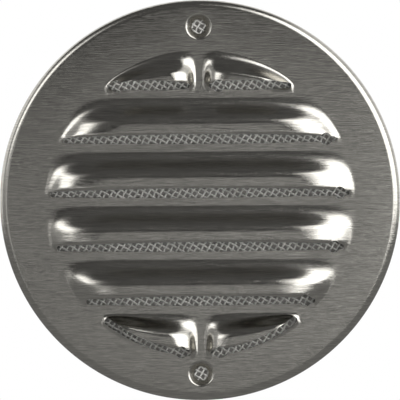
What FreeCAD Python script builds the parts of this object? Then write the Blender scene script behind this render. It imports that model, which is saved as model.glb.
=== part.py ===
import FreeCAD, Part
import math
import os

# Round louvred vent cover, pressed from one sheet, with a disc of insect mesh held behind it by the rim.
# Millimetres. +Z is up, the louvres face -Y, and the origin is the middle of the wall plane behind the rim.

# Sheet and rim
sheet = 0.6
crown_inside_radius = 1.9
return_inside_radius = 0.4
return_clearance = 0.85
rim_land = 1.69

# Louvre field, with heights measured from its own centre
field_radius = 47.8
field_drop = 1.0
straight_rows = 4
row_land = 2.4
top_hood_depth = 12.5
bottom_hood_depth = 13.5
hood_height = 4.4
hood_slope_run = 8.5
hood_end_run = 11.5
hood_end_flare = 1.6
half_hood_flare = 1.2
bridge_end_share = 0.2
top_tip_share = 0.25
bottom_tip_share = 0.2
hood_foot = 1.0
hood_bridge = 2.0
hood_tip_trim = 2.4

# Poles of a hood's smooth curves: shares of the slot, the slope and the end, each with a share of the height
slot_poles = ((0.1, 0), (0.3, 0), (0.7, 1))
slope_poles = ((0.75, 1), (0.25, 0), (0, 0))
end_poles = ((0, 0), (0.1, 0), (0.24, 0.45), (0.52, 0.85), (0.86, 1), (1, 1))

# Slots under the hoods, and the round hole that each slit starts from
slot_gap = 3.0
curved_slot_gap = 2.0
slot_sag = 0.5
slot_margin = 0.3
slot_end_radius = 0.8
slot_inset = 1.0
slot_tip_inset = 3.4
start_hole_diameter = 3.7
start_hole_inset = 3.1

# Countersunk screw holes
screw_land = 1.15
screw_hole_diameter = 4.5
dimple_diameter = 7.7
dimple_depth = 1.6
dimple_edge_radius = 0.8

# Insect mesh
mesh_thickness = 0.8
mesh_web = 0.4
mesh_edge_clearance = 0.2
mesh_dimple_clearance = 0.55
mesh_screw_clearance = 0.4
mesh_pitch = 8.2
mesh_bar = 1.7
mesh_ridge = 0.7
mesh_turn = 31.0

# Sizes that follow
dimple_radius = dimple_diameter / 2
screw_hole_radius = screw_hole_diameter / 2
dimple_slope = math.atan2(dimple_depth, dimple_radius - screw_hole_radius)
dimple_reach = dimple_radius + dimple_edge_radius * math.tan(dimple_slope / 2)
screw_radius = field_radius + field_drop + screw_land + dimple_reach
screw_heights = (screw_radius, -screw_radius)
crown_radius = crown_inside_radius + sheet
return_radius = return_inside_radius + sheet
rim_radius = screw_radius + dimple_reach + rim_land + crown_radius
mesh_back = -sheet
mesh_front = mesh_back - mesh_thickness
plate_back = mesh_front - mesh_dimple_clearance - dimple_depth
plate_front = plate_back - sheet
return_start = rim_radius - return_radius
return_inner = screw_radius + screw_hole_radius + return_clearance
mesh_radius = return_start - mesh_edge_clearance
first_slit = field_radius - top_hood_depth
last_hinge = bottom_hood_depth - field_radius
row_pitch = (first_slit - last_hinge - row_land) / straight_rows
hood_depth = row_pitch - row_land
slits = [first_slit - row * row_pitch for row in range(1, straight_rows + 1)]
cut_length = 2 * (hood_height - plate_front)

SPLINE_DEGREE = 3
BACKWARD = FreeCAD.Vector(0, 1, 0)
SIDEWAYS = FreeCAD.Vector(1, 0, 0)
ORIGIN = FreeCAD.Vector(0, 0, 0)


def point(x, y, z):
    return FreeCAD.Vector(x, y, z)


def chord(radius, height):
    """Half the width of a circle at a height above its centre."""
    return math.sqrt(radius ** 2 - height ** 2)


def line(start, end):
    return Part.LineSegment(start, end).toShape()


def arc(start, middle, end):
    return Part.Arc(start, middle, end).toShape()


def disc(radius, thickness, y, z=0):
    """Round disc that faces along Y, from a depth y towards the wall."""
    return Part.makeCylinder(radius, thickness, point(0, y, z), BACKWARD)


def bend(centre_r, centre_y, radius, start_deg, end_deg):
    """Bend in the rim's section, drawn in the plane of the radius and Y."""
    def at(degrees):
        turn = math.radians(degrees)
        return point(centre_r + radius * math.cos(turn), centre_y + radius * math.sin(turn), 0)
    return arc(at(start_deg), at((start_deg + end_deg) / 2), at(end_deg))


def rolled_plate():
    """Flat round plate with its edge rolled back and turned in against the wall, spun from one section."""
    crown_r = rim_radius - crown_radius
    crown_y = plate_front + crown_radius
    inner_wall = rim_radius - sheet
    section = [
        line(point(0, plate_front, 0), point(crown_r, plate_front, 0)),
        bend(crown_r, crown_y, crown_radius, -90, 0),
        line(point(rim_radius, crown_y, 0), point(rim_radius, -return_radius, 0)),
        bend(return_start, -return_radius, return_radius, 0, 90),
        line(point(return_start, 0, 0), point(return_inner, 0, 0)),
        line(point(return_inner, 0, 0), point(return_inner, -sheet, 0)),
        line(point(return_inner, -sheet, 0), point(return_start, -sheet, 0)),
        bend(return_start, -return_radius, return_inside_radius, 90, 0),
        line(point(inner_wall, -return_radius, 0), point(inner_wall, crown_y, 0)),
        bend(crown_r, crown_y, crown_inside_radius, 0, -90),
        line(point(crown_r, plate_back, 0), point(0, plate_back, 0)),
        line(point(0, plate_back, 0), point(0, plate_front, 0)),
    ]
    return Part.Face(Part.Wire(section)).revolve(ORIGIN, BACKWARD, 360)


def spline_face(poles):
    """Smooth cubic surface drawn by a net of poles, whose outer poles give its edges."""
    def knots(count):
        spans = count - SPLINE_DEGREE
        ends = SPLINE_DEGREE + 1
        return list(range(spans + 1)), [ends] + [1] * (spans - 1) + [ends]
    u_knots, u_mults = knots(len(poles))
    v_knots, v_mults = knots(len(poles[0]))
    surface = Part.BSplineSurface()
    surface.buildFromPolesMultsKnots(poles, u_mults, v_mults, u_knots, v_knots, False, False,
                                     SPLINE_DEGREE, SPLINE_DEGREE)
    return surface.toShape()


def hood_section(gap, depth):
    """Section of a hood as shares of its depth and height, from below the slit up to the hinge."""
    slot = [(slot_margin + share * gap, lift) for share, lift in slot_poles]
    slope = [(depth - share * hood_slope_run, lift) for share, lift in slope_poles]
    lip, top = slot[-1][0], slope[0][0]
    flat = [(lip + (top - lip) * step / 3, 1) for step in (1, 2)]
    return [(place / depth, lift) for place, lift in [(0, 0)] + slot + flat + slope]


def hood_face(ends, edges, runs, flare, section):
    """Pressed face between a left and right end, given by share of depth, and a low and high edge, given by x.

    The rise at each end fans out from the slot, so it is longer towards the hinge.
    """
    left, right = ends
    low, high = edges
    columns = [(left, share * runs[0], lift) for share, lift in end_poles]
    columns += [(right, -share * runs[1], lift) for share, lift in reversed(end_poles)]
    net = []
    for edge, shift, end_lift in columns:
        column = []
        for share, lift in section:
            x = edge(share) + shift * (1 + flare * share)
            z = low(x) + share * (high(x) - low(x))
            column.append(point(x, plate_front - hood_height * end_lift * lift, z))
        net.append(column)
    return spline_face(net)


def straight_hood(slit):
    """Hood of a full row, whose ends follow the field's circle and have their foot a little outside it."""
    low = slit - slot_margin
    depth = hood_depth + slot_margin

    def right(share):
        return chord(field_radius + hood_foot, low + share * depth)

    def left(share):
        return -right(share)
    edges = (lambda x: low, lambda x: low + depth)
    return hood_face((left, right), edges, (hood_end_run, hood_end_run), hood_end_flare,
                     hood_section(slot_gap, depth))


def half_hood(low, high, tip_height, tip_share, gap):
    """Right half of the first or last row, from the bridge to the tip where its two edges nearly meet."""
    inner = hood_bridge / 2
    tip = chord(field_radius, tip_height) - hood_tip_trim
    ends = (lambda share: inner, lambda share: tip)
    runs = (bridge_end_share * (tip - inner), tip_share * (tip - inner))
    return hood_face(ends, (low, high), runs, half_hood_flare, hood_section(gap, high(inner) - low(inner)))


def hood_faces():
    """Every hood in the field's own frame."""
    upper = half_hood(lambda x: first_slit - slot_margin, lambda x: chord(field_radius, x), first_slit,
                      top_tip_share, slot_gap)
    lower = half_hood(lambda x: -chord(field_radius + slot_margin, x), lambda x: last_hinge, last_hinge,
                      bottom_tip_share, curved_slot_gap)
    return [straight_hood(slit) for slit in slits] + both_sides([upper, lower])


def both_sides(shapes):
    """The shapes and their mirror images across the middle of the cover."""
    return shapes + [shape.mirror(ORIGIN, SIDEWAYS) for shape in shapes]


def through_cut(outline):
    """Prism through the whole cover from an outline in the plane of the field."""
    face = Part.Face(Part.Wire(outline))
    face.translate(point(0, -cut_length, 0))
    return face.extrude(BACKWARD * cut_length)


def straight_slot(start, end, slit):
    """Slot with a bowed edge below and above and round ends."""
    radius = slot_end_radius
    first = start + radius
    last = end - radius
    middle = (start + end) / 2
    centre = slot_middle(slit)
    low = centre - radius
    high = centre + radius
    return through_cut([
        arc(point(first, 0, low), point(middle, 0, slit), point(last, 0, low)),
        arc(point(last, 0, low), point(end, 0, centre), point(last, 0, high)),
        arc(point(last, 0, high), point(middle, 0, slit + slot_gap), point(first, 0, high)),
        arc(point(first, 0, high), point(start, 0, centre), point(first, 0, low)),
    ])


def slot_middle(slit):
    """Height of the middle of a straight slot's ends."""
    return slit + slot_sag + slot_end_radius


def curved_slot(start_x, end_x):
    """Slot of the last row's right half, along the field's circle."""
    radius = curved_slot_gap / 2
    middle = field_radius - radius
    inner = middle - radius
    turn = radius / middle
    start = math.asin(start_x / middle)
    end = math.asin(end_x / middle)

    def at(distance, angle):
        return point(distance * math.sin(angle), 0, -distance * math.cos(angle))

    def along(distance, first, last):
        return arc(at(distance, first), at(distance, (first + last) / 2), at(distance, last))
    first = start + turn
    last = end - turn
    return through_cut([
        along(field_radius, first, last),
        arc(at(field_radius, last), at(middle, end), at(inner, last)),
        along(inner, last, first),
        arc(at(inner, first), at(middle, start), at(field_radius, first)),
    ])


def start_hole(x, z):
    """Round hole that a slit starts from."""
    return Part.makeCylinder(start_hole_diameter / 2, cut_length, point(x, -cut_length, z), BACKWARD)


def slot_cuts():
    """Every slot with its start hole, in the field's own frame."""
    cuts = []
    for slit in slits:
        end = chord(field_radius, slot_middle(slit)) - slot_inset
        cuts.append(straight_slot(-end, end, slit))
        cuts.append(start_hole(end - start_hole_inset, slot_middle(slit)))
    inner = hood_bridge / 2 + hood_foot + slot_inset
    upper_end = chord(field_radius, first_slit) - slot_tip_inset
    lower_end = chord(field_radius, last_hinge) - slot_tip_inset
    cuts += both_sides([straight_slot(inner, upper_end, first_slit), curved_slot(inner, lower_end)])
    hole_x = inner + start_hole_inset
    for x in (hole_x, start_hole_inset - upper_end):
        cuts.append(start_hole(x, slot_middle(first_slit)))
    for x in (hole_x, -hole_x):
        cuts.append(start_hole(x, -chord(field_radius - curved_slot_gap / 2, x)))
    return cuts


def in_field(shapes):
    """Shapes moved from the field's own frame to its place on the cover."""
    for shape in shapes:
        shape.translate(point(0, 0, -field_drop))
    return shapes


def dimple(height):
    """Countersunk dish round a screw hole, spun from a section of the sheet."""
    def on_edge(angle, y):
        return point(dimple_reach - dimple_edge_radius * math.sin(angle),
                     y + dimple_edge_radius * (1 - math.cos(angle)), 0)

    def side(y):
        foot = on_edge(dimple_slope, y)
        return [arc(point(dimple_reach, y, 0), on_edge(dimple_slope / 2, y), foot),
                line(foot, point(screw_hole_radius, y + dimple_depth, 0))]
    section = side(plate_front) + side(plate_back)
    section.append(line(point(dimple_reach, plate_front, 0), point(dimple_reach, plate_back, 0)))
    section.append(line(point(screw_hole_radius, plate_front + dimple_depth, 0),
                        point(screw_hole_radius, plate_back + dimple_depth, 0)))
    dish = Part.Face(Part.Wire(Part.sortEdges(section)[0])).revolve(ORIGIN, BACKWARD, 360)
    dish.translate(point(0, 0, height))
    return dish


def flat_blank(face):
    """Flat piece of the plate that a hood is pressed from, inside the outline of its face."""
    edges = face.OuterWire.Edges
    outline = [Part.Edge(edge.Curve, edge.FirstParameter, edge.LastParameter) for edge in edges]
    return Part.Face(Part.Wire(Part.sortEdges(outline)[0])).extrude(BACKWARD * sheet)


def louvred_cover():
    """The pressed cover: plate and rim, hoods and dimples pressed from it, then the slots."""
    faces = in_field(hood_faces())
    blanks = [flat_blank(face) for face in faces]
    blanks += [disc(dimple_reach, sheet, plate_front, height) for height in screw_heights]
    pressed = [face.extrude(BACKWARD * sheet) for face in faces]
    pressed += [dimple(height) for height in screw_heights]
    return rolled_plate().cut(blanks).fuse(pressed).cut(in_field(slot_cuts()))


def turned_bar(length, width, low, high, offset, turn):
    """Straight bar between two depths, at an offset from the middle and an angle about Y."""
    bar = Part.makeBox(length, high - low, width, point(-length / 2, low, offset - width / 2))
    bar.rotate(ORIGIN, BACKWARD, turn)
    return bar


def mesh_gaps():
    """Square gaps of the weave, clear of the rim that holds it, and a round one behind each screw hole."""
    screw_gap = screw_hole_radius + mesh_screw_clearance
    width = mesh_pitch - mesh_bar
    corner = width / math.sqrt(2)
    reach = return_inner - mesh_bar
    turn = FreeCAD.Rotation(BACKWARD, mesh_turn)
    count = math.ceil(reach / mesh_pitch)
    gaps = [disc(screw_gap, mesh_thickness, mesh_front, height) for height in screw_heights]
    for column in range(-count, count):
        for row in range(-count, count):
            middle = turn.multVec(point(column + 0.5, 0, row + 0.5) * mesh_pitch)
            to_screw = min((middle - point(0, 0, height)).Length for height in screw_heights)
            if middle.Length + corner <= reach and to_screw >= screw_gap + mesh_bar + corner:
                gap = turned_bar(width, width, mesh_front, mesh_back, 0, mesh_turn)
                gap.translate(middle)
                gaps.append(gap)
    return gaps


def insect_mesh():
    """Woven mesh as one wall: ridges along the wires of each face, and gaps between them."""
    side = (mesh_thickness - mesh_web) / 2
    whole = disc(mesh_radius, mesh_thickness, mesh_front)
    web = disc(mesh_radius, mesh_web, mesh_front + side)
    edge = whole.cut(disc(return_inner, mesh_thickness, mesh_front))
    count = math.floor(return_inner / mesh_pitch)
    ridges = []
    for row in range(-count, count + 1):
        for low, turn in ((mesh_front, mesh_turn), (mesh_back - side, mesh_turn + 90)):
            ridges.append(turned_bar(2 * mesh_radius, mesh_ridge, low, low + side, row * mesh_pitch, turn))
    return web.fuse([edge] + [ridge.common(whole) for ridge in ridges]).cut(mesh_gaps())


def main():
    os.makedirs("parts", exist_ok=True)
    pieces = {"louvred_cover": louvred_cover(), "insect_mesh": insect_mesh()}
    for name, shape in pieces.items():
        shape.exportStep("parts/" + name + ".step")


main()
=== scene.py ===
import bisect
import math
import random

import bmesh
import bpy
from mathutils import Matrix, Vector


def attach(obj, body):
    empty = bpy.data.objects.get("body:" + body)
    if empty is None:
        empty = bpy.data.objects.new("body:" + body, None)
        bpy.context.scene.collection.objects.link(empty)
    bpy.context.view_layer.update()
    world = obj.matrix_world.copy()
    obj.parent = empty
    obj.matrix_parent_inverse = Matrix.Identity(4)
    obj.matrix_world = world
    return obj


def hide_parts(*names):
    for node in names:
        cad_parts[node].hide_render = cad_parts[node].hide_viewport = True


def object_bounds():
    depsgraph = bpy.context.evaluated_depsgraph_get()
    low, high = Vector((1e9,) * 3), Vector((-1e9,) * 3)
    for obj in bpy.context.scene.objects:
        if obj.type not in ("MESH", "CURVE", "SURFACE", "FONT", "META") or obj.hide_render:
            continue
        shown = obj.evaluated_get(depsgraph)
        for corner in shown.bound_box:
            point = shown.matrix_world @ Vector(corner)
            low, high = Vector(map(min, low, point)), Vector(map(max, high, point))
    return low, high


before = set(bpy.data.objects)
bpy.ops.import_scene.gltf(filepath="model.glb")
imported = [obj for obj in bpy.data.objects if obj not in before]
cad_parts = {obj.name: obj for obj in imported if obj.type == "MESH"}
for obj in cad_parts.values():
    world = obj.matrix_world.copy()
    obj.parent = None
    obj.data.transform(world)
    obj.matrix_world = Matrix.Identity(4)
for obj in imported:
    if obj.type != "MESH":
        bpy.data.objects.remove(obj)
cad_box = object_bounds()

bl_info = {
    "name": "Round vent cover",
    "version": (1, 0, 0),
    "blender": (4, 5, 0),
    "location": "View3D > Sidebar > Vent cover",
    "description": "Dresses the pressed cover, its louvres and the woven insect mesh, and sets the studio",
    "category": "Object",
}

# Poles of a louvre's smooth curves: shares of the slot, the slope and the end, with shares of the height
SLOT_POLES = ((0.1, 0.0), (0.3, 0.0), (0.7, 1.0))
SLOPE_POLES = ((0.75, 1.0), (0.25, 0.0), (0.0, 0.0))
END_POLES = ((0.0, 0.0), (0.1, 0.0), (0.24, 0.45), (0.52, 0.85), (0.86, 1.0), (1.0, 1.0))
# Fine rows of faces up a louvre and across the strip of plate below its slot
LOUVRE_ROWS = 24
LAND_ROWS = 2
# Columns of faces along a full slot, along a half slot and beside each end of a slot
FULL_COLUMNS = 150
HALF_COLUMNS = 80
END_COLUMNS = 6
# How much the columns of a full and of a half slot crowd towards its ends
FULL_CROWDING = 0.78
HALF_CROWDING = 0.6
# Steps round the rim and a screw hole, along the dish's rounded edge and down its cone
RIM_STEPS = 256
DISH_STEPS = 72
DISH_EDGE_STEPS = 6
DISH_CONE_STEPS = 4
# Rows of full louvres between the first and the last row
FULL_ROWS = 4
# Faces that lean less than this towards the front are sheared walls of the sheet
WALL_LEAN = 0.1
# Steps of a sampled curve, and a distance that counts as none
SAMPLES = 240
TINY = 1e-6
# Bend of a wire over its neighbours, as a share of the wire's radius, and the seed of its stray
CRIMP_SHARE = 0.96
STRAY_SEED = 5
# Camera, floor, backing and fill lamp, in metres and degrees
CAMERA_DISTANCE = 2.2
CAMERA_ROLL = 0.43
FLOOR_GAP = 0.012
FLOOR_FORWARD = 0.8
BACKING_GAP = 0.0012
# Grey of the backing card: painted shade for the hollow behind the weave
BACKING_PAINTED_SHADE = (0.4, 0.39, 0.37, 1.0)
LAMP_SIZE = 0.6
LAMP_DISTANCE = 0.7
LAMP_DROP = 20.0


def length(name, description, default):
    """Property for a length in metres."""
    return bpy.props.FloatProperty(name=name, description=description, default=default, min=0.0, precision=5,
                                   unit="LENGTH")


def colour(name, description, default):
    """Property for a plain colour."""
    return bpy.props.FloatVectorProperty(name=name, description=description, default=default, size=3, min=0.0,
                                         max=1.0, subtype="COLOR")


def number(name, description, default):
    """Property for a number with no unit."""
    return bpy.props.FloatProperty(name=name, description=description, default=default, min=0.0)


class VentCoverSizes(bpy.types.PropertyGroup):
    """Sizes of the pressed cover."""
    sheet: length("Sheet", "Thickness of the steel sheet", 0.0006)
    rim_radius: length("Rim radius", "Radius of the cover outside its rolled rim", 0.0625)
    plate_front: length("Plate height", "Height of the flat plate's face above the wall", 0.00415)
    crown_inside: length("Crown bend", "Inside radius of the bend at the front of the rim", 0.0019)
    return_inside: length("Return bend", "Inside radius of the bend at the back of the rim", 0.0004)
    return_inner: length("Return radius", "Inside radius of the turned-in flange on the wall", 0.05723)
    field_radius: length("Field radius", "Radius of the circle that the louvres fill", 0.0478)
    field_drop: length("Field drop", "How far the louvres sit below the middle of the cover", 0.001)
    row_land: length("Land", "Flat strip between a slot and the next louvre", 0.0024)
    top_hood_depth: length("Top louvre depth", "Depth of the first row at the middle", 0.0125)
    bottom_hood_depth: length("Bottom louvre depth", "Depth of the last row at the middle", 0.0135)
    hood_height: length("Louvre height", "How far a louvre stands out of the plate", 0.0044)
    hood_slope_run: length("Slope run", "Length of the slope from the plate to the top of a louvre", 0.0085)
    hood_end_run: length("End run", "Length of the rise at each end of a full louvre, at its slot", 0.0115)
    hood_end_flare: number("End flare", "How much longer a full louvre's end is at the hinge", 1.6)
    half_hood_flare: number("Half end flare", "How much longer a half louvre's end is at the hinge", 1.2)
    bridge_end_share: number("Bridge end", "Share of a half louvre that rises next to the bridge", 0.2)
    top_tip_share: number("Top tip", "Share of an upper half louvre that rises at its tip", 0.25)
    bottom_tip_share: number("Bottom tip", "Share of a lower half louvre that rises at its tip", 0.2)
    hood_foot: length("Louvre foot", "How far the foot of a louvre's end lies outside the field", 0.001)
    hood_bridge: length("Bridge", "Flat bridge between two half louvres", 0.002)
    hood_tip_trim: length("Tip trim", "How far a half louvre stops short of the circle's corner", 0.0024)
    slot_gap: length("Slot gap", "Height of a slot at its middle", 0.003)
    curved_slot_gap: length("Curved slot gap", "Height of the slots in the last row", 0.002)
    slot_sag: length("Slot sag", "Bow of a slot's lower edge", 0.0005)
    slot_margin: length("Slot margin", "How far the pressing starts below a slot", 0.0003)
    land_strip: length("Land strip", "Width of the fine strip of plate along a slot", 0.0011)
    slot_end_radius: length("Slot end", "Radius of a slot's rounded end", 0.0008)
    slot_inset: length("Slot inset", "Plate left between a slot and the louvre's end", 0.001)
    slot_tip_inset: length("Slot tip inset", "Plate left beyond the slot of a half louvre", 0.0034)
    start_hole_radius: length("Start hole", "Radius of the round hole that each slit starts from", 0.00185)
    start_hole_inset: length("Start hole inset", "Distance of a start hole from the slot's end", 0.0031)
    screw_radius: length("Screw radius", "Distance of each screw hole from the middle", 0.05413)
    screw_hole_radius: length("Screw hole", "Radius of a screw hole", 0.00225)
    dimple_radius: length("Dimple", "Radius of the countersunk dish at the plate", 0.00385)
    dimple_depth: length("Dimple depth", "Depth of the countersunk dish", 0.0016)
    dimple_edge_radius: length("Dimple edge", "Radius that rounds the dish into the plate", 0.0008)
    edge_break: length("Edge break", "Rounding of the sheared edges", 0.00008)


class VentMeshSizes(bpy.types.PropertyGroup):
    """Sizes of the woven mesh."""
    pitch: length("Pitch", "Distance between wires", 0.00165)
    wire_radius: length("Wire radius", "Radius of one wire", 0.0003)
    stray: length("Stray", "How far a wire strays from its straight line", 0.00013)
    disc_radius: length("Disc radius", "Radius that the wires are cut to", 0.06125)
    middle_height: length("Height", "Height of the weave above the wall", 0.00119)
    turn: bpy.props.FloatProperty(name="Turn", description="Angle of the weave about the view",
                                  default=math.radians(31.0), subtype="ANGLE")


class VentCoverFinish(bpy.types.PropertyGroup):
    """Colours of the metal and the strength of the studio lights."""
    steel_light: colour("Light steel", "Brushed steel on its bright streaks", (0.66, 0.641, 0.587))
    steel_dark: colour("Dark steel", "Brushed steel on its dark streaks", (0.415, 0.401, 0.368))
    wire: colour("Wire", "Colour of the drawn wire", (0.95, 0.94, 0.90))
    floor: colour("Floor", "Colour of the floor", (0.80, 0.80, 0.79))
    right_strength: number("Right softbox", "Brightness of the softbox on the right", 2.6)
    left_strength: number("Left softbox", "Brightness of the softbox on the left", 2.2)
    fill_power: number("Fill", "Power of the soft lamp that reaches the weave", 7.0)


def circle_height(radius, across):
    """Half the width of a circle at a distance from its centre."""
    return math.sqrt(max(radius ** 2 - across ** 2, 0.0))


def lerp(start, end, share):
    """Number between two others."""
    return start + share * (end - start)


def between(start, end, share):
    """Point of the plan between two others."""
    return lerp(start[0], end[0], share), lerp(start[1], end[1], share)


def pole_weights(count, share):
    """Weights of the poles of a cubic curve with evenly spaced knots that ends on its end poles."""
    spans = count - 3
    place = min(share * spans, spans - TINY)
    span = int(place)
    knots = [min(max(i - 3, 0), spans) for i in range(count + 4)]
    local = [1.0]
    for degree in range(1, 4):
        raised = [0.0] * (degree + 1)
        for i, weight in enumerate(local):
            low = knots[span + 4 - degree + i]
            high = knots[span + 4 + i]
            raised[i] += weight * (high - place) / (high - low)
            raised[i + 1] += weight * (place - low) / (high - low)
        local = raised
    return [0.0] * span + local + [0.0] * (count - span - 4)


def sampled(poles):
    """Values of a smooth curve at even steps between its ends."""
    poles = list(poles)
    steps = [pole_weights(len(poles), i / SAMPLES) for i in range(SAMPLES + 1)]
    return [sum(weight * pole for weight, pole in zip(step, poles)) for step in steps]


def place_in(values, value):
    """Step and share of the step where rising values reach a value, or None outside them."""
    if not values[0] < value < values[-1]:
        return None
    step = bisect.bisect(values, value) - 1
    return step, (value - values[step]) / (values[step + 1] - values[step])


def read(values, place):
    """Value at a step and share of the step."""
    step, share = place
    return values[step] + share * (values[step + 1] - values[step])


class CoverLayout:
    """Places on the cover that follow from its sizes, with heights measured from the field's centre."""

    def __init__(self, sizes):
        self.sizes = sizes
        self.front = -sizes.plate_front
        self.back = self.front + sizes.sheet
        self.crown_radius = sizes.crown_inside + sizes.sheet
        self.return_radius = sizes.return_inside + sizes.sheet
        self.crown_start = sizes.rim_radius - self.crown_radius
        self.return_start = sizes.rim_radius - self.return_radius
        self.first_slit = sizes.field_radius - sizes.top_hood_depth
        self.last_hinge = sizes.bottom_hood_depth - sizes.field_radius
        self.row_pitch = (self.first_slit - self.last_hinge - sizes.row_land) / FULL_ROWS
        self.hood_depth = self.row_pitch - sizes.row_land
        self.slits = [self.first_slit - row * self.row_pitch for row in range(1, FULL_ROWS + 1)]
        self.bridge_side = sizes.hood_bridge / 2
        self.slot_start = self.bridge_side + sizes.hood_foot + sizes.slot_inset
        self.dimple_slope = math.atan2(sizes.dimple_depth, sizes.dimple_radius - sizes.screw_hole_radius)
        self.dimple_reach = sizes.dimple_radius + sizes.dimple_edge_radius * math.tan(self.dimple_slope / 2)

    def slot_middle(self, slit):
        """Height of the middle of a straight slot's ends."""
        return slit + self.sizes.slot_sag + self.sizes.slot_end_radius

    def section(self, gap, depth):
        """Section of a louvre as shares of its depth and height, from below the slit up to the hinge."""
        slot = [(self.sizes.slot_margin + share * gap, lift) for share, lift in SLOT_POLES]
        slope = [(depth - share * self.sizes.hood_slope_run, lift) for share, lift in SLOPE_POLES]
        lip, top = slot[-1][0], slope[0][0]
        flat = [(lip + (top - lip) * step / 3, 1.0) for step in (1, 2)]
        poles = [(0.0, 0.0)] + slot + flat + slope
        return [place / depth for place, lift in poles], [lift for place, lift in poles]


class Louvre:
    """Pressed height over the plan of a louvre, which fans out from the ends of its slot to its hinge."""

    def __init__(self, layout, ends, edges, runs, flare, gap):
        sizes = layout.sizes
        self.full_height = sizes.hood_height
        self.flare = flare
        self.left, self.right = ends
        self.low, self.high = edges
        count = len(END_POLES)
        lifts = [lift for share, lift in END_POLES]
        shifts = [share * runs[0] for share, lift in END_POLES]
        shifts += [-share * runs[1] for share, lift in reversed(END_POLES)]
        self.left_shares = sampled([1.0] * count + [0.0] * count)
        self.shifts = sampled(shifts)
        self.ends = sampled(lifts + lifts[::-1])
        middle = (self.left(0.0) + self.right(0.0)) / 2 if self.left(0.0) < 0 else self.left(0.0)
        shares, lifts = layout.section(gap, self.high(middle) - self.low(middle))
        self.shares = sampled(shares)
        self.lifts = sampled(lifts)

    def height(self, x, z):
        """Height above the plate at a point of the plan."""
        low = self.low(x)
        up = (z - low) / (self.high(x) - low)
        place = place_in(self.shares, up)
        if place is None:
            return 0.0
        left, right = self.left(up), self.right(up)
        flare = 1 + self.flare * up

        def across(step):
            return lerp(right, left, self.left_shares[step]) + flare * self.shifts[step]
        step = bisect.bisect(range(SAMPLES + 1), x, key=across) - 1
        if not 0 <= step < SAMPLES:
            return 0.0
        share = (x - across(step)) / (across(step + 1) - across(step))
        return self.full_height * read(self.lifts, place) * read(self.ends, (step, share))


def bow(half_span, rise, offset):
    """Rise of a shallow arc over its chord at an offset from its middle."""
    radius = (half_span ** 2 + rise ** 2) / (2 * rise)
    return circle_height(radius, offset) - (radius - rise)


def straight_slot_edges(layout, start, end, slit, hole):
    """Function for the lower and upper edge of a straight slot, start hole included, at a place along it."""
    sizes = layout.sizes
    radius = sizes.slot_end_radius
    centre = layout.slot_middle(slit)
    middle = (start + end) / 2
    half_span = (end - start) / 2 - radius

    def edges(x):
        offset = abs(x - middle)
        past = offset - half_span
        if past > 0:
            down = up = circle_height(radius, past)
        else:
            down = radius + bow(half_span, sizes.slot_sag, offset)
            up = radius + bow(half_span, sizes.slot_gap - sizes.slot_sag - 2 * radius, offset)
        round_hole = circle_height(sizes.start_hole_radius, x - hole)
        return centre - max(down, round_hole), centre + max(up, round_hole)
    return edges


def spread(start, end, count, ends):
    """Places between two ends, closer together towards both of them."""
    places = []
    for i in range(count + 1):
        share = -1 + 2 * i / count
        share += ends * math.sin(math.pi * share) / math.pi
        places.append(start + (end - start) * (share + 1) / 2)
    return places


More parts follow.
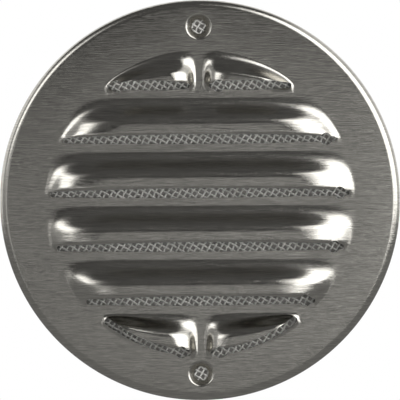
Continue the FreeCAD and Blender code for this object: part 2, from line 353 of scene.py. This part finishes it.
class SheetBuilder:
    """Front face of the pressed sheet, grown patch by patch in one bmesh."""

    def __init__(self, layout):
        self.layout = layout
        self.bm = bmesh.new()
        self.open_edge = self.bm.verts.layers.int.new("open_edge")

    def patch(self, columns, rows, place, height, is_open):
        """Grid whose columns run up the plan, raised to the pressed height."""
        made = bmesh.ops.create_grid(self.bm, x_segments=columns, y_segments=rows, size=0.5)
        for vert in made["verts"]:
            column = round((vert.co.x + 0.5) * columns)
            row = round((vert.co.y + 0.5) * rows)
            x, z = place(column, row / rows)
            vert[self.open_edge] = int(is_open(column, row))
            vert.co = (x, self.layout.front - height(x, z), z - self.layout.sizes.field_drop)

    def end_patch(self, inner, outline, louvre_height):
        """Closed end beside a slot, from points up the slot's end to the outline of the louvre."""
        rows = len(inner) - 1
        foot = inner[0][1]
        rise = inner[-1][1] - foot

        def on_end(column, share):
            start = inner[round(share * rows)]
            return between(start, outline((start[1] - foot) / rise), column / END_COLUMNS)
        self.patch(END_COLUMNS, rows, on_end, louvre_height,
                   lambda column, row: column == 0 and row == LAND_ROWS)

    def slot_patches(self, slot, louvre_height, edge_points, land_point, top_point, outlines):
        """Louvre above a slot, strip of plate below it, and the closed ends beside both.

        The slot is a row of places, and each outline gives the louvre's edge beside one end of the slot.
        """
        def on_louvre(column, share):
            place = slot[column]
            return between(edge_points(place)[1], top_point(place), share)

        def on_land(column, share):
            place = slot[column]
            return between(land_point(place), edge_points(place)[0], share)
        self.patch(len(slot) - 1, LOUVRE_ROWS, on_louvre, louvre_height, lambda column, row: row == 0)
        self.patch(len(slot) - 1, LAND_ROWS, on_land, louvre_height, lambda column, row: row == LAND_ROWS)
        for column, outline in zip((0, len(slot) - 1), outlines):
            inner = [on_land(column, row / LAND_ROWS) for row in range(LAND_ROWS)]
            inner += [on_louvre(column, row / LOUVRE_ROWS) for row in range(LOUVRE_ROWS + 1)]
            self.end_patch(inner, outline, louvre_height)

    def full_row(self, slit):
        """Louvre, slot and land of a full row."""
        layout = self.layout
        sizes = layout.sizes
        low = slit - sizes.slot_margin
        strip = slit - sizes.land_strip
        hinge = slit + layout.hood_depth
        middle = layout.slot_middle(slit)
        end = circle_height(sizes.field_radius, middle) - sizes.slot_inset
        edges = straight_slot_edges(layout, -end, end, slit, end - sizes.start_hole_inset)

        def side(z):
            return circle_height(sizes.field_radius + sizes.hood_foot, z)

        def right(share):
            return side(lerp(low, hinge, share))

        def edge_points(x):
            return [(x, z) for z in edges(x)]

        def top_point(x):
            x *= max((side(hinge) - sizes.hood_foot - sizes.slot_inset) / end, 1.0)
            return x, min(side(x), hinge)

        def outline(way):
            top = top_point(end)[1]
            return lambda share: (way * side(lerp(strip, top, share)), lerp(strip, top, share))
        louvre = Louvre(layout, (lambda share: -right(share), right), (lambda x: low, lambda x: hinge),
                        (sizes.hood_end_run, sizes.hood_end_run), sizes.hood_end_flare, sizes.slot_gap)
        self.slot_patches(spread(-end, end, FULL_COLUMNS, FULL_CROWDING), louvre.height, edge_points,
                          lambda x: (x, strip), top_point, (outline(-1), outline(1)))

    def half_row(self, side, ends, slot, louvre, edge_points, top_point, land_point):
        """Louvre, slot and land of a half row, on the right (1) or left (-1) of the bridge."""
        def mirrored(point):
            return side * point[0], point[1]

        def outline(place):
            return lambda share: mirrored(between(land_point(place), top_point(place), share))
        self.slot_patches(slot, lambda x, z: louvre.height(abs(x), z),
                          lambda place: [mirrored(point) for point in edge_points(place)],
                          lambda place: mirrored(land_point(place)), lambda place: mirrored(top_point(place)),
                          [outline(place) for place in ends])

    def upper_half(self, side):
        """Half of the first row. Its slit starts at the left end on both sides of the bridge."""
        layout = self.layout
        sizes = layout.sizes
        slit = layout.first_slit
        bridge = layout.bridge_side
        start = layout.slot_start
        corner = circle_height(sizes.field_radius, slit)
        tip = corner - sizes.hood_tip_trim
        end = corner - sizes.slot_tip_inset
        hole = start + sizes.start_hole_inset if side > 0 else end - sizes.start_hole_inset
        edges = straight_slot_edges(layout, start, end, slit, hole)

        def top(x):
            return circle_height(sizes.field_radius, x)

        def edge_points(x):
            low, high = edges(x)
            return (x, low), (x, high)
        louvre = Louvre(layout, (lambda share: bridge, lambda share: tip),
                        (lambda x: slit - sizes.slot_margin, top),
                        (sizes.bridge_end_share * (tip - bridge), sizes.top_tip_share * (tip - bridge)),
                        sizes.half_hood_flare, sizes.slot_gap)
        self.half_row(side, (bridge, tip), spread(start, end, HALF_COLUMNS, HALF_CROWDING), louvre,
                      edge_points, lambda x: (x, top(x)), lambda x: (x, slit - sizes.land_strip))

    def lower_half(self, side):
        """Half of the last row, whose slot follows the field's circle and starts next to the bridge."""
        layout = self.layout
        sizes = layout.sizes
        bridge = layout.bridge_side
        gap = sizes.curved_slot_gap / 2
        middle = sizes.field_radius - gap
        corner = circle_height(sizes.field_radius, layout.last_hinge)
        tip = corner - sizes.hood_tip_trim
        start = math.asin(layout.slot_start / middle)
        end = math.asin((corner - sizes.slot_tip_inset) / middle)
        hole = math.asin((layout.slot_start + sizes.start_hole_inset) / middle)
        half_span = (end - start) / 2 * middle - gap

        def at(radius, angle):
            return radius * math.sin(angle), -radius * math.cos(angle)

        def edge_points(angle):
            past = abs(angle - (start + end) / 2) * middle - half_span
            half = circle_height(gap, past) if past > 0 else gap
            half = max(half, circle_height(sizes.start_hole_radius, (angle - hole) * middle))
            return at(middle + half, angle), at(middle - half, angle)
        louvre = Louvre(layout, (lambda share: bridge, lambda share: tip),
                        (lambda x: -circle_height(sizes.field_radius + sizes.slot_margin, x),
                         lambda x: layout.last_hinge),
                        (sizes.bridge_end_share * (tip - bridge), sizes.bottom_tip_share * (tip - bridge)),
                        sizes.half_hood_flare, sizes.curved_slot_gap)
        ends = (math.asin(bridge / middle), math.asin(tip / sizes.field_radius))
        self.half_row(side, ends, spread(start, end, HALF_COLUMNS, HALF_CROWDING), louvre, edge_points,
                      lambda angle: (at(sizes.field_radius, angle)[0], layout.last_hinge),
                      lambda angle: at(sizes.field_radius + sizes.land_strip, angle))

    def dimple(self, height):
        """Countersunk dish round a screw hole."""
        layout = self.layout
        sizes = layout.sizes
        profile = []
        for i in range(DISH_EDGE_STEPS + 1):
            angle = layout.dimple_slope * i / DISH_EDGE_STEPS
            profile.append((layout.dimple_reach - sizes.dimple_edge_radius * math.sin(angle),
                            layout.front + sizes.dimple_edge_radius * (1 - math.cos(angle))))
        foot = (sizes.screw_hole_radius, layout.front + sizes.dimple_depth)
        profile += [between(profile[-1], foot, i / DISH_CONE_STEPS) for i in range(1, DISH_CONE_STEPS + 1)]
        made = spun(self.bm, [(r, y, height) for r, y in profile], (0.0, 0.0, height), DISH_STEPS)
        for vert in made:
            reach = math.hypot(vert.co.x, vert.co.z - height)
            vert[self.open_edge] = int(reach < sizes.screw_hole_radius + TINY)

    def fill_plate(self):
        """Flat plate between the rim, the louvres and the dishes."""
        bmesh.ops.create_circle(self.bm, segments=RIM_STEPS, radius=self.layout.crown_start,
                                matrix=Matrix.Translation((0, self.layout.front, 0))
                                @ Matrix.Rotation(math.pi / 2, 4, "X"))
        bmesh.ops.remove_doubles(self.bm, verts=self.bm.verts, dist=TINY)
        edges = [edge for edge in self.bm.edges if len(edge.link_faces) < 2
                 and not all(vert[self.open_edge] for vert in edge.verts)]
        made = bmesh.ops.triangle_fill(self.bm, use_beauty=True, edges=edges, normal=(0, -1, 0))
        self.keep_flat([item for item in made["geom"] if isinstance(item, bmesh.types.BMFace)])

    def keep_flat(self, faces):
        """Keeps the shading of faces apart from that of the faces round them."""
        inside = set(faces)
        for edge in {edge for face in faces for edge in face.edges}:
            edge.smooth = all(face in inside for face in edge.link_faces)

    def thicken(self):
        """Gives the sheet its thickness towards the wall and leaves the rim's side open."""
        made = bmesh.ops.extrude_face_region(self.bm, geom=self.bm.faces[:])
        verts = [item for item in made["geom"] if isinstance(item, bmesh.types.BMVert)]
        bmesh.ops.translate(self.bm, verts=verts, vec=(0, self.layout.sizes.sheet, 0))
        limit = self.layout.crown_start - TINY
        walls = [face for face in self.bm.faces
                 if all(math.hypot(vert.co.x, vert.co.z) > limit for vert in face.verts)]
        bmesh.ops.delete(self.bm, geom=walls, context="FACES")

    def rim(self):
        """Edge of the sheet rolled back and turned in against the wall."""
        layout = self.layout
        sizes = layout.sizes
        crown = (layout.crown_start, layout.front + layout.crown_radius)
        fold = (layout.return_start, -layout.return_radius)
        profile = turned_arc(crown, layout.crown_radius, -90, 0, 14)
        profile += turned_arc(fold, layout.return_radius, 0, 90, 8)
        profile += [(sizes.return_inner + sizes.edge_break, 0.0), (sizes.return_inner, -sizes.edge_break),
                    (sizes.return_inner, sizes.edge_break - sizes.sheet),
                    (sizes.return_inner + sizes.edge_break, -sizes.sheet)]
        profile += turned_arc(fold, sizes.return_inside, 90, 0, 6)
        profile += turned_arc(crown, sizes.crown_inside, 0, -90, 12)
        edge = bmesh.new()
        spun(edge, [(r, y, 0.0) for r, y in profile], (0.0, 0.0, 0.0), RIM_STEPS)
        mesh = bpy.data.meshes.new("rolled_rim")
        edge.to_mesh(mesh)
        edge.free()
        self.bm.from_mesh(mesh)
        bpy.data.meshes.remove(mesh)

    def break_edges(self):
        """Rounds the sheared edges of the slots and screw holes a little."""
        def is_wall(face):
            return abs(face.normal.y) < WALL_LEAN
        self.bm.normal_update()
        limit = self.layout.crown_start - self.layout.sizes.sheet
        edges = [edge for edge in self.bm.edges if len(edge.link_faces) == 2
                 and is_wall(edge.link_faces[0]) != is_wall(edge.link_faces[1])
                 and all(math.hypot(vert.co.x, vert.co.z) < limit for vert in edge.verts)]
        made = bmesh.ops.bevel(self.bm, geom=edges, offset=self.layout.sizes.edge_break, offset_type="OFFSET",
                               segments=2, profile=0.5, affect="EDGES", material=-1, clamp_overlap=True)
        self.keep_flat(made["faces"])


def turned_arc(centre, radius, start, end, count):
    """Points of a bend in the rim's section, with angles in degrees from outwards towards the wall."""
    angles = [math.radians(lerp(start, end, i / count)) for i in range(count + 1)]
    return [(centre[0] + radius * math.cos(angle), centre[1] + radius * math.sin(angle)) for angle in angles]


def spun(bm, points, centre, steps):
    """Vertices of a section turned right round the line through a centre along Y."""
    verts = [bm.verts.new(point) for point in points]
    edges = [bm.edges.new(pair) for pair in zip(verts, verts[1:])]
    before = set(bm.verts)
    bmesh.ops.spin(bm, geom=verts + edges, cent=centre, axis=(0, 1, 0), angle=2 * math.pi, steps=steps,
                   use_merge=True)
    return verts + [vert for vert in bm.verts if vert not in before]


def new_piece(name, mesh, material, node):
    """Object that rides on the part and stands for one of its solids."""
    for polygon in mesh.polygons:
        polygon.use_smooth = True
    piece = bpy.data.objects.new(name, mesh)
    bpy.context.scene.collection.objects.link(piece)
    mesh.materials.append(material)
    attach(piece, "root")
    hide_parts(node)
    return piece


def build_cover_mesh(sizes):
    """Mesh of the whole pressed cover."""
    sheet = SheetBuilder(CoverLayout(sizes))
    for height in (sizes.screw_radius, -sizes.screw_radius):
        sheet.dimple(height)
    for slit in sheet.layout.slits:
        sheet.full_row(slit)
    for side in (1, -1):
        sheet.upper_half(side)
        sheet.lower_half(side)
    sheet.fill_plate()
    sheet.thicken()
    sheet.rim()
    bmesh.ops.remove_doubles(sheet.bm, verts=sheet.bm.verts, dist=TINY)
    bmesh.ops.recalc_face_normals(sheet.bm, faces=sheet.bm.faces)
    sheet.break_edges()
    mesh = bpy.data.meshes.new("pressed_cover")
    sheet.bm.to_mesh(mesh)
    sheet.bm.free()
    return mesh


def weave_curve(sizes):
    """Curve with one spline for each wire of the weave, over and under its neighbours."""
    curve = bpy.data.curves.new("weave", "CURVE")
    curve.dimensions = "3D"
    curve.bevel_depth = sizes.wire_radius
    curve.bevel_resolution = 0
    curve.use_fill_caps = True
    count = int(sizes.disc_radius / sizes.pitch)
    chance = random.Random(STRAY_SEED)
    for family in (0, 1):
        turn = Matrix.Rotation(sizes.turn + family * math.pi / 2, 3, "Y")
        for wire in range(-count, count + 1):
            offset = wire * sizes.pitch
            reach = circle_height(sizes.disc_radius, offset)
            crossings = int(reach / sizes.pitch)
            points = []
            for crossing in range(-crossings, crossings + 1):
                over = 1 if (crossing + wire + family) % 2 else -1
                for side in (-0.25, 0.25):
                    along = (crossing + side) * sizes.pitch
                    if abs(along) < reach:
                        stray = sizes.stray * chance.uniform(-1.0, 1.0)
                        points.append(Vector((along, over * sizes.wire_radius * CRIMP_SHARE, offset + stray)))
            if len(points) < 2:
                continue
            spline = curve.splines.new("POLY")
            spline.points.add(len(points) - 1)
            for target, point in zip(spline.points, points):
                target.co = (*(turn @ point - Vector((0, sizes.middle_height, 0))), 1.0)
    return curve


class Value:
    """Number socket that takes part in Python sums by adding Math nodes."""

    def __init__(self, finish, socket):
        self.finish = finish
        self.socket = socket

    def math(self, operation, *terms):
        """Result of a Math node on numbers or values."""
        node = self.finish.add("ShaderNodeMath", {"operation": operation}, dict(enumerate(terms)))
        return Value(self.finish, node.outputs[0])

    def __add__(self, other):
        return self.math("ADD", self, other)

    def __sub__(self, other):
        return self.math("SUBTRACT", self, other)

    def __rsub__(self, other):
        return self.math("SUBTRACT", other, self)

    def __mul__(self, other):
        return self.math("MULTIPLY", self, other)

    __radd__ = __add__
    __rmul__ = __mul__

    def limited(self):
        """The value kept between 0 and 1."""
        return self.math("MAXIMUM", self.math("MINIMUM", self, 1.0), 0.0)


class Finish:
    """Node tree of a material or of the world."""

    def __init__(self, tree):
        self.tree = tree
        tree.nodes.clear()

    def add(self, kind, settings=None, sockets=None):
        """Node of any kind, with its settings and then the values or links of its sockets."""
        node = self.tree.nodes.new(kind)
        for name, value in (settings or {}).items():
            setattr(node, name, value)
        for name, value in (sockets or {}).items():
            if isinstance(value, Value):
                value = value.socket
            if isinstance(value, bpy.types.NodeSocket):
                self.tree.links.new(value, node.inputs[name])
            else:
                node.inputs[name].default_value = value
        return node

    def value(self, node, output):
        """Output of a node as a value."""
        return Value(self, node.outputs[output])

    def object_noise(self, scale, detail, roughness):
        """Noise on object coordinates, stretched by a scale along each axis."""
        place = self.add("ShaderNodeTexCoord").outputs["Object"]
        mapped = self.add("ShaderNodeMapping", {}, {"Vector": place, "Scale": scale}).outputs["Vector"]
        noise = self.add("ShaderNodeTexNoise", {}, {"Vector": mapped, "Scale": 1.0, "Detail": detail,
                                                    "Roughness": roughness})
        return self.value(noise, "Fac")

    def blend(self, factor, first, second):
        """Colour between two colours."""
        node = self.add("ShaderNodeMix", {"data_type": "RGBA"},
                        {"Factor": factor, 6: (*first, 1.0), 7: (*second, 1.0)})
        return node.outputs[2]


def new_material(name):
    """Empty material and its node tree."""
    material = bpy.data.materials.new(name)
    material.use_nodes = True
    return material, Finish(material.node_tree)


def brushed_steel(colours):
    """Stainless sheet brushed from side to side."""
    material, finish = new_material("brushed_steel")
    hairline = finish.object_noise((180.0, 260.0, 5200.0), 3.0, 0.6)
    streak = finish.object_noise((80.0, 160.0, 1500.0), 2.0, 0.5)
    smudge = finish.object_noise((38.0, 38.0, 38.0), 3.0, 0.55)
    grain = hairline * 0.8 + streak * 0.2
    shade = finish.blend((grain * 2.8 - 0.9).limited(), colours.steel_dark, colours.steel_light)
    rough = 0.12 + grain * 0.05 + smudge * 0.03
    bump = finish.add("ShaderNodeBump", {}, {"Strength": 1.0, "Distance": 0.00004, "Height": grain})
    steel = finish.add("ShaderNodeBsdfPrincipled", {}, {
        "Base Color": shade, "Metallic": 1.0, "Roughness": rough, "Normal": bump.outputs["Normal"]})
    finish.add("ShaderNodeOutputMaterial", {}, {"Surface": steel.outputs["BSDF"]})
    return material


def drawn_wire(colours):
    """Dull drawn wire."""
    material, finish = new_material("drawn_wire")
    tarnish = finish.object_noise((420.0, 420.0, 420.0), 3.0, 0.6)
    dark = [part * 0.6 for part in colours.wire]
    shade = finish.blend((tarnish * 2.4 - 0.7).limited(), dark, colours.wire)
    wire = finish.add("ShaderNodeBsdfPrincipled", {}, {
        "Base Color": shade, "Metallic": 0.2, "Roughness": 0.28 + tarnish * 0.2})
    finish.add("ShaderNodeOutputMaterial", {}, {"Surface": wire.outputs["BSDF"]})
    return material


def glowing(name, strength, left=1.0, right=1.0, bottom=1.0, top=1.0, half_width=1.0, half_height=1.0):
    """Card that glows, brighter or darker towards its sides."""
    material, finish = new_material(name)
    place = finish.add("ShaderNodeTexCoord").outputs["Object"]
    parts = finish.add("ShaderNodeSeparateXYZ", {}, {0: place})
    across = (finish.value(parts, "X") * (0.5 / half_width) + 0.5).limited()
    up = (finish.value(parts, "Z") * (0.5 / half_height) + 0.5).limited()
    level = (across * (right - left) + left) * (up * (top - bottom) + bottom)
    shade = finish.add("ShaderNodeCombineColor", {}, {0: level, 1: level, 2: level})
    glow = finish.add("ShaderNodeEmission", {}, {"Color": shade.outputs[0], "Strength": strength})
    finish.add("ShaderNodeOutputMaterial", {}, {"Surface": glow.outputs[0]})
    return material


def stage_object(name, bm, material):
    """Object of the stage, from a bmesh."""
    mesh = bpy.data.meshes.new(name)
    bm.to_mesh(mesh)
    bm.free()
    mesh.materials.append(material)
    obj = bpy.data.objects.new(name, mesh)
    bpy.context.scene.collection.objects.link(obj)
    return obj


def card(name, width, height, direction, distance, material, lean=0.0, rise=0.0):
    """Card that faces the cover from a direction in degrees to the right and up, leaning left and raised."""
    bm = bmesh.new()
    bmesh.ops.create_grid(bm, x_segments=2, y_segments=2, size=0.5)
    bmesh.ops.scale(bm, verts=bm.verts, vec=(width, height, 1.0))
    bmesh.ops.rotate(bm, verts=bm.verts, cent=(0, 0, 0), matrix=Matrix.Rotation(math.pi / 2, 3, "X"))
    obj = stage_object(name, bm, material)
    right, up = (math.radians(part) for part in direction)
    turn = Matrix.Rotation(right, 4, "Z") @ Matrix.Rotation(-up, 4, "X")
    turn = turn @ Matrix.Rotation(-math.radians(lean), 4, "Y")
    obj.matrix_world = Matrix.Translation((0, 0, rise)) @ turn @ Matrix.Translation((0, -distance, 0))
    obj.visible_camera = False
    return obj


def fill_lamp(power):
    """Soft lamp low in front that reaches the weave through the slots and isn't reflected by the steel."""
    lamp = bpy.data.lights.new("fill_lamp", "AREA")
    lamp.size = LAMP_SIZE
    lamp.energy = power
    obj = bpy.data.objects.new("fill_lamp", lamp)
    obj.matrix_world = (Matrix.Rotation(math.radians(LAMP_DROP), 4, "X")
                        @ Matrix.Translation((0, -LAMP_DISTANCE, 0))
                        @ Matrix.Rotation(math.pi / 2, 4, "X"))
    obj.visible_glossy = False
    bpy.context.scene.collection.objects.link(obj)


def backing_card(radius):
    """Grey round card close behind the mesh that only shows from the front. Its grey is painted shade for the
    hollow behind the weave, and the lamps light it as well.
    """
    material, finish = new_material("painted_shade_backing")
    # Grey diffuse front is painted shade behind the weave; the back face is clear
    painted_shade = finish.add("ShaderNodeBsdfDiffuse", {}, {"Color": BACKING_PAINTED_SHADE})
    clear = finish.add("ShaderNodeBsdfTransparent")
    behind = finish.add("ShaderNodeNewGeometry").outputs["Backfacing"]
    mixed = finish.add("ShaderNodeMixShader", {}, {0: behind, 1: painted_shade.outputs[0], 2: clear.outputs[0]})
    finish.add("ShaderNodeOutputMaterial", {}, {"Surface": mixed.outputs[0]})
    bm = bmesh.new()
    bmesh.ops.create_circle(bm, cap_ends=True, segments=96, radius=radius,
                            matrix=Matrix.Translation((0, BACKING_GAP, 0))
                            @ Matrix.Rotation(math.pi / 2, 4, "X"))
    stage_object("backing_card", bm, material)


def studio_floor(shade):
    """Pale floor below the cover."""
    material, finish = new_material("studio_floor")
    grain = finish.object_noise((30.0, 30.0, 30.0), 2.0, 0.5)
    tint = finish.blend(grain, [part * 0.97 for part in shade], shade)
    paint = finish.add("ShaderNodeBsdfPrincipled", {}, {"Base Color": tint, "Roughness": 0.7})
    finish.add("ShaderNodeOutputMaterial", {}, {"Surface": paint.outputs[0]})
    bm = bmesh.new()
    bmesh.ops.create_grid(bm, x_segments=2, y_segments=2, size=1.0,
                          matrix=Matrix.Translation((0, -FLOOR_FORWARD, cad_box[0][2] - FLOOR_GAP)))
    stage_object("studio_floor", bm, material)


def white_world():
    """World that is white to the camera and in reflections, and lights the scene softly."""
    world = bpy.data.worlds.new("studio_white")
    world.use_nodes = True
    bpy.context.scene.world = world
    finish = Finish(world.node_tree)
    path = finish.add("ShaderNodeLightPath")
    seen = finish.value(path, "Is Camera Ray") + finish.value(path, "Is Glossy Ray")
    seen = (seen + finish.value(path, "Is Transmission Ray")).limited()
    sky = finish.add("ShaderNodeBackground", {}, {"Color": (1.0, 1.0, 1.0, 1.0),
                                                  "Strength": seen * 0.5 + 0.5})
    finish.add("ShaderNodeOutputWorld", {}, {"Surface": sky.outputs[0]})


def photo_camera(rim_radius):
    """Camera straight in front of the cover, with the rim touching the sides of the picture."""
    data = bpy.data.cameras.new("photo_camera")
    data.angle = 2 * math.atan(rim_radius / CAMERA_DISTANCE)
    data.clip_end = 50.0
    camera = bpy.data.objects.new("photo_camera", data)
    camera.matrix_world = (Matrix.Rotation(math.radians(CAMERA_ROLL), 4, "Y")
                           @ Matrix.Translation((0, -CAMERA_DISTANCE, 0))
                           @ Matrix.Rotation(math.pi / 2, 4, "X"))
    bpy.context.scene.collection.objects.link(camera)
    bpy.context.scene.camera = camera


class VENT_OT_cover(bpy.types.Operator):
    """Build the pressed cover with its louvres, slots, dishes and rolled rim"""
    bl_idname = "vent.cover"
    bl_label = "Pressed cover"

    def execute(self, context):
        scene = context.scene
        mesh = build_cover_mesh(scene.vent_cover_sizes)
        steel = brushed_steel(scene.vent_cover_finish)
        new_piece("pressed_cover", mesh, steel, "louvred_cover")
        return {"FINISHED"}


class VENT_OT_mesh(bpy.types.Operator):
    """Weave the insect mesh behind the louvres"""
    bl_idname = "vent.mesh"
    bl_label = "Insect mesh"

    def execute(self, context):
        scene = context.scene
        curve = weave_curve(scene.vent_mesh_sizes)
        holder = bpy.data.objects.new("weave", curve)
        mesh = bpy.data.meshes.new_from_object(holder)
        mesh.name = "insect_weave"
        bpy.data.objects.remove(holder)
        new_piece("insect_weave", mesh, drawn_wire(scene.vent_cover_finish), "insect_mesh")
        return {"FINISHED"}


class VENT_OT_studio(bpy.types.Operator):
    """Set the camera, floor, cards and softboxes"""
    bl_idname = "vent.studio"
    bl_label = "Studio"

    def execute(self, context):
        scene = context.scene
        finish = scene.vent_cover_finish
        scene.view_settings.view_transform = "Standard"
        white_world()
        photo_camera(scene.vent_cover_sizes.rim_radius)
        studio_floor(finish.floor)
        # Grey card behind the weave: painted shade for the hollow behind it
        backing_card(scene.vent_cover_sizes.return_inner)
        card("front_card", 0.5, 0.5, (0, 0), 0.9,
             glowing("front_card", 0.335, left=0.66, right=1.42, bottom=2.05, top=0.12, half_width=0.12,
                     half_height=0.12))
        card("top_card", 6.6, 5.8, (0, 62), 2.0, glowing("top_card", 0.085))
        low_card = card("low_card", 1.6, 1.6, (0, -90), 0.0725, glowing("low_card", 0.2))
        low_card.visible_diffuse = False
        low_card.visible_shadow = False
        card("right_wall", 1.6, 2.6, (85, 20), 1.4, glowing("right_wall", 0.7))
        card("left_wall", 1.4, 2.0, (-55, 15), 1.4, glowing("left_wall", 0.4))
        card("right_softbox", 1.3, 4.4, (45, 0), 1.1, glowing("right_softbox", finish.right_strength),
             lean=3, rise=1.85)
        card("left_softbox", 0.5, 0.72, (-46, 0), 1.1, glowing("left_softbox", finish.left_strength),
             rise=0.6)
        fill_lamp(finish.fill_power)
        return {"FINISHED"}


class VENT_PT_panel(bpy.types.Panel):
    """Lists the pieces of the vent cover"""
    bl_label = "Vent cover"
    bl_idname = "VENT_PT_panel"
    bl_space_type = "VIEW_3D"
    bl_region_type = "UI"
    bl_category = "Vent cover"

    def draw(self, context):
        for operator in (VENT_OT_cover, VENT_OT_mesh, VENT_OT_studio):
            self.layout.operator(operator.bl_idname)
        for group in (context.scene.vent_cover_sizes, context.scene.vent_mesh_sizes,
                      context.scene.vent_cover_finish):
            for name in group.__annotations__:
                self.layout.prop(group, name)


CLASSES = (VentCoverSizes, VentMeshSizes, VentCoverFinish, VENT_OT_cover, VENT_OT_mesh, VENT_OT_studio,
           VENT_PT_panel)


def register():
    for item in CLASSES:
        bpy.utils.register_class(item)
    bpy.types.Scene.vent_cover_sizes = bpy.props.PointerProperty(type=VentCoverSizes)
    bpy.types.Scene.vent_mesh_sizes = bpy.props.PointerProperty(type=VentMeshSizes)
    bpy.types.Scene.vent_cover_finish = bpy.props.PointerProperty(type=VentCoverFinish)


def unregister():
    del bpy.types.Scene.vent_cover_finish
    del bpy.types.Scene.vent_mesh_sizes
    del bpy.types.Scene.vent_cover_sizes
    for item in reversed(CLASSES):
        bpy.utils.unregister_class(item)


def main():
    register()
    bpy.ops.vent.cover()
    bpy.ops.vent.mesh()
    bpy.ops.vent.studio()


if __name__ == "__main__":
    main()
